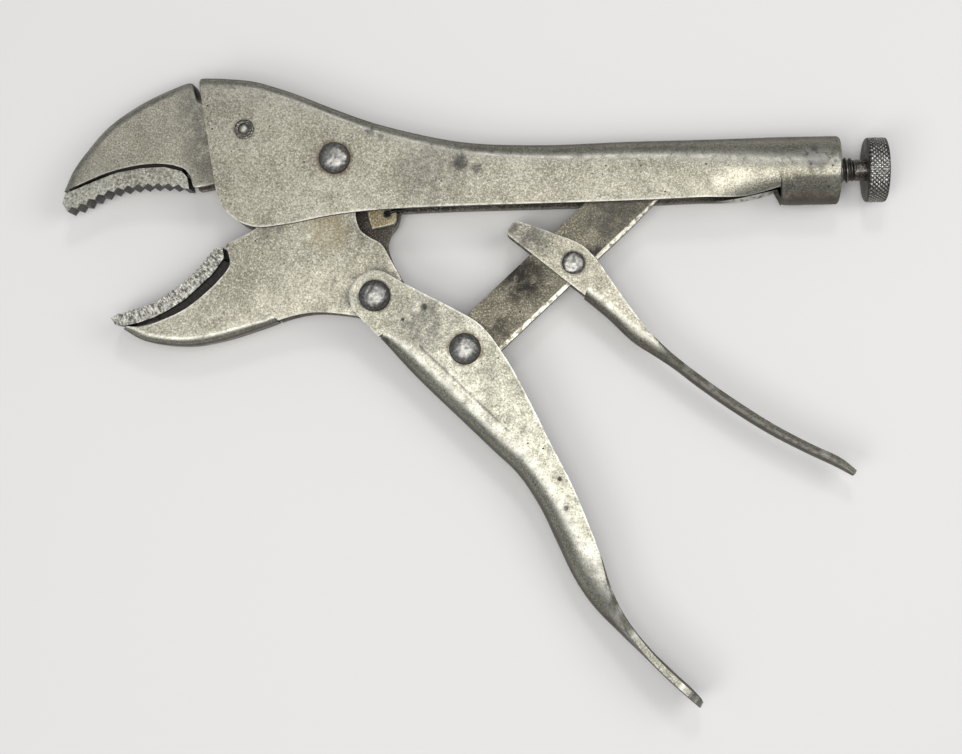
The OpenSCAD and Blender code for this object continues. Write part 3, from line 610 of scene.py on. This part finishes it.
def make_lower_jaw():
    """The lower jaw's cover: a folded nose, then two flat walls round both pivots."""
    folds = [(-65.4, -51.9), (-60.4, -54.9), (-53, -56.6), (-45, -57), (-38, -56), (-31, -54.2),
             (-25.6, -52.4), (-21, -50.8), (-18, -49.6)]
    edges = [(-64, -51.1), (-59.2, -51.2), (-52.2, -48.8), (-45.8, -45.6), (-40.4, -41.4),
             (-36, -37.2), (-32.4, -32.2), (-32.9, -28.6), (-33.6, -26.6)]
    bends = [2.8, 2.8, 2.8, 2.8, 2.8, 2.7, 2.4, 2, 1.9]
    nose = stations(folds, edges, LOWER_JAW_HALF, bends)
    top = blended([(-33.2, -25.8), (-30.6, -24.6), (-24.8, -21.4), (-15.6, -10.4), (-8.2, -1.4)], CURVE_STEPS)
    lobe = arc(JAW_PIVOT, JAW_LOBE_R, 175, -4)
    rear = {1: [(6.8, -10), (6.1, -17.2), (7.7, -21.8), (10.6, -24), (13.7, -25.7), (16.7, -30.4),
                (20.2, -36.8)],
            -1: [(16.4, -9.6), (19.2, -13.4), (19.2, -16.4), (18.2, -19.8), (16.2, -22.6),
                 (15.4, -25.6), (16.7, -30.4), (20.2, -36.8)]}
    eye = arc(HANDLE_PIVOT, JAW_EYE_R, 15, -92)
    low = blended([(5.6, -47.8), (0, -47.1), (-5.4, -46.8), (-11.4, -47.5), (-17.7, -49.3)], CURVE_STEPS)
    plates = [(side, LOWER_JAW_HALF, top + lobe + blended(rear[side], CURVE_STEPS) + eye + low, nose[-1])
              for side in (1, -1)]
    folded_sheet("lower_jaw_sheet", [nose], JAW_SHEET, LOWER_JAW_STEEL,
                 "lower_jaw", ["lower_jaw_cover"], plates)


def make_handle():
    """The moving handle: two walls round the pivots, a folded grip and a tail that flattens out."""
    folds = [(13.9, -54.9), (16.4, -57.6), (19.9, -61.6), (25.2, -67.2), (31.6, -73.4),
             (39.4, -80.8), (48.4, -89.4), (56.6, -97.4), (62.6, -106.6), (68, -117.8),
             (73.2, -128.6), (79.2, -137.4), (86.4, -144.8), (94.4, -152.5), (103.8, -161.6),
             (109.6, -166.7), (111.8, -168.6)]
    edges = [(24.4, -39.8), (27.2, -41.3), (31, -43.2), (37, -46.3), (44.4, -50.8), (52, -60.6),
             (59.6, -74.4), (66.8, -88.8), (72.2, -99.2), (77.2, -110.8), (81.2, -120.8),
             (84.6, -131.2), (89.2, -141), (95.8, -150), (105.6, -159.6), (111.3, -164.8),
             (113.4, -166.8)]
    bends = [2.1, 4, 5.5, 6.4, 6.5, 6.5, 6.5, 6.8, 7.2, 8.5, 10.5, 9, 7.5, 7.5, 7.5, 6.5, 3]
    sweeps = [FULL_BEND] * 9 + [88, 80, 56, 30, 18, 15, 15, 15]
    flares = [0] * 12 + [0.1, 0.3, 0.6, -1, -4.5]
    blade = stations(folds, edges, HANDLE_HALF, bends, sweeps, flares)
    eye = arc(HANDLE_PIVOT, EYE_R, 58, 226, 32)
    outline = [edges[0], (21.6, -38.4)] + eye + [(10.4, -51.4), (13.5, -54.5)]
    plates = [(side, HANDLE_HALF, outline, blade[0]) for side in (1, -1)]
    folded_sheet("handle_sheet", [blade], HANDLE_SHEET, HANDLE_STEEL,
                 "moving_handle", ["lower_handle"], plates)


def make_lever():
    """The release lever: two walls round its rivet, and a tail that flattens out."""
    folds = [(76.2, -42.4), (84.2, -49), (91.2, -55.6), (98.3, -60.2), (103.3, -63.5),
             (112.3, -70.3), (123.1, -77.7), (133.5, -84.1), (145.2, -90.1), (155, -94.7),
             (159.2, -97)]
    edges = [(80.6, -31.2), (90.2, -45), (95.2, -51.2), (101, -57), (105.2, -60.6),
             (114.2, -67.4), (124.9, -74.8), (135.1, -81.2), (146.5, -87.2), (156.2, -91.9),
             (160.4, -95.3)]
    bends = [4.1] * 2 + [4.8] * 9
    sweeps = [FULL_BEND, FULL_BEND, 82, 56, 32] + [20] * 6
    flares = [0, 0, 0, 0.1, 0.3, 0.5, 0.6, 0.6, 0.6, 0.3, -1.4]
    blade = stations(folds, edges, LEVER_HALF, bends, sweeps, flares)
    top = blended([edges[0], (76.4, -26.8), (67, -22.6), (56.2, -18.9)], CURVE_STEPS)
    tip = [(54.9, -18.9), (53.9, -19.6), (52.4, -21.6), (52.5, -22.5), (53.1, -23.2)]
    plates = [(side, LEVER_HALF, top + tip + [(76.4, -41.5)], blade[0]) for side in (1, -1)]
    folded_sheet("lever_sheet", [blade], LEVER_SHEET, LEVER_STEEL,
                 "release_lever", ["release_lever"], plates)


def make_spring_tab():
    """The lower jaw's spring tab, holed for the hook, and the bend that joins it to the far wall."""
    cut_low, cut_high = (TAB_HOLE.x, -19.9), (TAB_HOLE.x, -12.9)
    left = [(8.6, -11.4), (9.4, -17), (10.6, -21), cut_low]
    left += arc(TAB_HOLE, TAB_HOLE_R, -90, -270) + [cut_high, (10.4, -11.6)]
    right = [cut_low, (17.6, -19.4), (18.3, -18), (18.4, -16.2), (17.6, -14), (15.8, -13), cut_high]
    right += arc(TAB_HOLE, TAB_HOLE_R, 90, -90)
    points = [(x, y, MID_Z + TAB_HALF) for x, y in left + right]
    faces = [tuple(range(len(left))), tuple(range(len(left), len(left) + len(right)))]
    tab = piece("spring_tab", points, faces, TAB_STEEL, "lower_jaw", ["lower_jaw_cover"],
                [0.6] * len(points))
    thickened(tab, 2 * TAB_HALF, TAB_STEEL)
    bend = [(6.8, -4.1), (8.4, -3.9), (9.2, -3.1), (9.5, -1.9), (9.8, -0.8), (10.6, 0)]
    sides = blended(bend, CURVE_STEPS)
    points = [(x, y, MID_Z + rise) for x, rise in sides for y in (-11.6, -13.2, -15, -16.6)]
    # The tab's neck takes the dark inside steel: painted shade
    neck = piece("spring_tab_neck", points, grid_faces(len(sides), 4), SHADED_INSIDE_STEEL, "lower_jaw",
                 ["lower_jaw_cover"], [0.0] * len(points))
    thickened(neck, JAW_SHEET / 2)


# ---------------------------------------------------------------- turned pieces

def turned(profile, segments, origin, way, first=0):
    """Points and faces of a profile of (radius, height) turned about an axis."""
    points = []
    for radius, height in profile:
        points += ring_points([radius] * segments, height, origin, facing(way))
    faces = [tuple(first + i for i in f) for f in grid_faces(len(profile), segments, closed=True)]
    return points, faces


def head_profile(radius, height, flat_r, steps=14):
    """A hammered head from its rim to its middle: tucked rim, round shoulder, near-flat top."""
    lip = 0.12
    made = [(radius - 0.25, -0.1), (radius - 0.06, 0.05)]
    for k in range(steps + 1):
        a = math.radians(90 * k / steps)
        made.append((flat_r + (radius - flat_r) * math.cos(a) ** 0.85, lip + (height - lip) * math.sin(a)))
    return made + [(flat_r * share, height) for share in (0.66, 0.33, 0.001)]


def make_rivet(name, at, seat, profile, body, shank_r, material=RIVET_STEEL):
    """A through rivet: a shank and a head on each side, from a profile over the seat."""
    segments, tuck = 48, 0.12
    outline = [(shank_r, -seat), (shank_r, -tuck)] + profile
    top = max(height for _, height in profile)
    points, faces, wear_and_highlight = [], [], []
    for side in (1, -1):
        base = Vector((at.x, at.y, MID_Z + side * seat))
        ring, more = turned(outline, segments, base, Vector((0, 0, side)), len(points))
        points += ring
        faces += more
        wear_and_highlight += [min(max(h / top, 0) ** 3, 1) for _, h in outline for _ in range(segments)]
    piece(name, points, faces, material, body, [name], wear_and_highlight)


def make_rivets():
    large = head_profile(LARGE_HEAD_R, MID_Z - HANDLE_HALF, 0.9)
    for name, at, body in (("jaw_pivot_rivet", JAW_PIVOT, "fixed_handle"),
                           ("handle_pivot_rivet", HANDLE_PIVOT, "moving_handle"),
                           ("link_rivet", LINK_PIVOT, "moving_handle")):
        make_rivet(name, at, HANDLE_HALF, large, body, LARGE_SHANK_R)
    peened = [(2.95, -0.05), (2.95, 0.15), (2.8, 0.3), (2.5, 0.32), (2.1, 0.25), (1.75, 0.2), (1.62, 0.35),
              (1.45, 0.72), (1.15, 1.02), (0.7, 1.17), (0.35, 1.22), (POINT_R, 1.23)]
    make_rivet("upper_jaw_rivet", SMALL_PIVOT, HANDLE_HALF, peened, "fixed_handle", SMALL_SHANK_R,
               PEENED_STEEL)
    make_rivet("release_lever_rivet", LEVER_PIVOT, LEVER_HALF,
               head_profile(LEVER_HEAD_R, LEVER_HEAD_HEIGHT, 1.2), "release_lever", LEVER_SHANK_R)


def make_knob():
    """The knob: a knurled rim between two chamfers, and slightly hollow faces."""
    cells, fine, depth, rim = 44, 6, 0.42, 0.75
    columns = cells * fine
    pitch = 2 * math.pi * KNOB_R / cells
    rows = round((KNOB_LENGTH - 2 * rim) / pitch * fine)
    base, turn = SCREW_ORIGIN + SCREW_WAY * KNOB_START, facing(SCREW_WAY)
    points, wear_and_highlight = [], []
    inner = [(3.35, 0.25), (5.5, 0.12), (8.4, 0), (KNOB_R - rim, 0.05), (KNOB_R - 0.3, 0.3)]
    outer = [(r, KNOB_LENGTH - h) for r, h in reversed(inner)]
    rings = [(r, h, False) for r, h in inner]
    rings += [(KNOB_R, rim + (KNOB_LENGTH - 2 * rim) * j / rows, True) for j in range(rows + 1)]
    rings += [(r, h, False) for r, h in outer]
    for j, (radius, height, cut) in enumerate(rings):
        ridges = [1.0] * columns
        if cut:
            ridges = [min(1 - abs(2 * (((i + side * j) / fine) % 1) - 1) for side in (1, -1))
                      for i in range(columns)]
        points += ring_points([radius - depth * (1 - ridge) for ridge in ridges], height, base, turn)
        wear_and_highlight += [max(0.0, ridge - 0.4) * 1.7 if cut else 0.0 for ridge in ridges]
    faces = grid_faces(len(rings), columns, closed=True)
    piece("knob", points, faces, BLACKED_STEEL, "knurled_knob", ["knurled_knob"], wear_and_highlight)


def make_screw():
    """The adjusting screw: a real helical thread, then the plain neck that holds the knob."""
    columns, per_pitch = 48, 10
    start, end = -35.8, 13.7
    pitch, outer, groove = 1.5875, 3.97, 0.9
    rows = round((end - start) / pitch * per_pitch)
    turn = facing(SCREW_WAY)
    tip = [(POINT_R, -37.5), (2.4, -37.5), (2.67, -37.2)]
    neck = [(3.2, 13.9), (3.3, 14.2), (3.3, 23.4), (2.9, 23.9), (POINT_R, 23.9)]
    rings = [([radius] * columns, height, [0.0] * columns) for radius, height in tip]
    for j in range(rows + 1):
        height = start + (end - start) * j / rows
        ends = min(1, (height - start) / pitch, (end - height) / pitch)
        crest = []
        for i in range(columns):
            phase = (height / pitch - i / columns) % 1
            crest.append(min(1, max(0, (1 - abs(2 * phase - 1)) * 1.25 - 0.12)) * max(ends, 0))
        radii = [outer - groove * (1 - c) for c in crest]
        rings.append((radii, height, [max(0, c - 0.6) * 2 for c in crest]))
    rings += [([radius] * columns, height, [0.0] * columns) for radius, height in neck]
    points, wear_and_highlight = [], []
    for radii, height, worn_and_lit in rings:
        points += ring_points(radii, height, SCREW_ORIGIN, turn)
        wear_and_highlight += worn_and_lit
    faces = grid_faces(len(rings), columns, closed=True)
    piece("screw", points, faces, DARK_STEEL, "adjusting_screw", ["adjusting_screw"], wear_and_highlight)


def make_spring():
    """The return spring: short hook, straight lead, coils and a long hook, in round wire."""
    wire_r, coil_r, pitch, coils, loop_r, leg_half, leg_start, lead = 0.5, 2, 1.5, 18, 2.1, 1.75, 1.6, 9.8
    facets = 24
    span = (ANCHOR - TAB_HOLE).length
    start = 2 * loop_r + lead
    end = start + coils * pitch
    bend = span - leg_half
    path = [(loop_r * (1 + math.cos(a)), 0, loop_r * math.sin(a))
            for a in (math.radians(310 - 10 * k) for k in range(29))]
    path += [(start + pitch * i / facets, coil_r * math.sin(2 * math.pi * i / facets),
              coil_r * math.cos(2 * math.pi * i / facets)) for i in range(coils * facets + 1)]
    path += [(end + leg_start, 0, leg_half)]
    path += [(bend + leg_half * math.cos(a), 0, leg_half * math.sin(a))
             for a in (math.radians(90 - 10 * k) for k in range(19))]
    path += [(end + leg_start, 0, -leg_half)]
    turn = Vector((1, 0, 0)).rotation_difference(ANCHOR - TAB_HOLE).to_matrix()
    curve = bpy.data.curves.new("spring_wire", "CURVE")
    curve.dimensions = "3D"
    curve.bevel_depth = wire_r * MM
    curve.bevel_resolution = 3
    curve.use_fill_caps = True
    spline = curve.splines.new("POLY")
    spline.points.add(len(path) - 1)
    for point, place in zip(spline.points, path):
        point.co = (*((TAB_HOLE + turn @ Vector(place)) * MM), 1)
    curve.materials.append(DARK_STEEL)
    made = bpy.data.objects.new("spring_wire", curve)
    bpy.context.scene.collection.objects.link(made)
    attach(made, "return_spring")
    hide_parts("return_spring")


# ---------------------------------------------------------------- plain CAD pieces

def dress(node, material, rounding=0.0):
    """Gives a CAD node its material and, if asked, rounds its edges."""
    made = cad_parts[node]
    made.data.materials.clear()
    made.data.materials.append(material)
    if rounding:
        weld = made.modifiers.new("weld", "WELD")
        weld.merge_threshold = 0.01 * MM
        rounded(made, rounding, segments=2)


def make_plain_pieces():
    dress("toggle_link", LINK_STEEL, 0.35)
    dress("upper_jaw_insert", UPPER_INSERT_STEEL, 0.15)
    dress("lower_jaw_insert", LOWER_INSERT_STEEL, 0.12)
    dress("threaded_bush", DARK_STEEL)
    dress("jaw_pivot_sleeve", SLEEVE_STEEL)
    dress("handle_pivot_sleeve", SLEEVE_STEEL)


make_shell()
make_upper_jaw()
make_lower_jaw()
make_handle()
make_lever()
make_spring_tab()
make_rivets()
make_knob()
make_screw()
make_spring()
make_plain_pieces()


# ---------------------------------------------------------------- floor, light and camera

def make_floor():
    """A plain pale floor."""
    mesh = bpy.data.meshes.new("floor")
    reach = 1.5
    mesh.from_pydata([(-reach, -reach, 0), (reach, -reach, 0), (reach, reach, 0), (-reach, reach, 0)],
                     [], [(0, 1, 2, 3)])
    material = bpy.data.materials.new("floor_paper")
    material.use_nodes = True
    shader = material.node_tree.nodes["Principled BSDF"]
    shader.inputs["Base Color"].default_value = (*PAPER, 1)
    shader.inputs["Roughness"].default_value = 0.9
    mesh.materials.append(material)
    floor = bpy.data.objects.new("floor", mesh)
    bpy.context.scene.collection.objects.link(floor)


def area_light(name, place, target, size_m, power, colour=(1, 1, 1)):
    """A square softbox that points at a target."""
    light = bpy.data.lights.new(name, "AREA")
    light.shape = "SQUARE"
    light.size = size_m
    light.energy = power
    light.color = colour
    made = bpy.data.objects.new(name, light)
    made.location = place
    made.rotation_euler = (Vector(target) - Vector(place)).to_track_quat("-Z", "Y").to_euler()
    bpy.context.scene.collection.objects.link(made)


def make_light():
    """Four softboxes and a dim, even world."""
    target = (0.04, -0.06, 0)
    area_light("overhead_softbox", (0.03, -0.16, 0.95), target, 0.45, 3.5, (1, 0.985, 0.96))
    area_light("left_softbox", (-0.36, -0.46, 0.85), target, 0.42, 2.1)
    area_light("top_strip", (0.10, 0.50, 0.85), target, 0.14, 0.9)
    area_light("right_softbox", (0.5, 0.02, 0.62), target, 0.4, 1.5)
    world = bpy.data.worlds.new("studio")
    world.use_nodes = True
    world.node_tree.nodes["Background"].inputs[0].default_value = (0.9, 0.93, 1, 1)
    world.node_tree.nodes["Background"].inputs[1].default_value = 0.3
    bpy.context.scene.world = world


def make_camera():
    """Straight down, a little beyond the middle, with the frame shifted back over the object."""
    camera = bpy.data.cameras.new("camera")
    made = bpy.data.objects.new("camera", camera)
    made.location = (VIEW_MIDDLE[0] * MM + VIEW_SHIFT * VIEW_WIDTH * MM,
                     VIEW_MIDDLE[1] * MM - VIEW_SHIFT * VIEW_WIDTH * MM,
                     (VIEW_PLANE + VIEW_DISTANCE) * MM)
    camera.sensor_width = 36
    camera.lens = camera.sensor_width * VIEW_DISTANCE / VIEW_WIDTH
    camera.shift_x = -VIEW_SHIFT
    camera.shift_y = VIEW_SHIFT
    bpy.context.scene.collection.objects.link(made)
    bpy.context.scene.camera = made


make_floor()
make_light()
make_camera()
bpy.context.scene.view_settings.view_transform = "Standard"
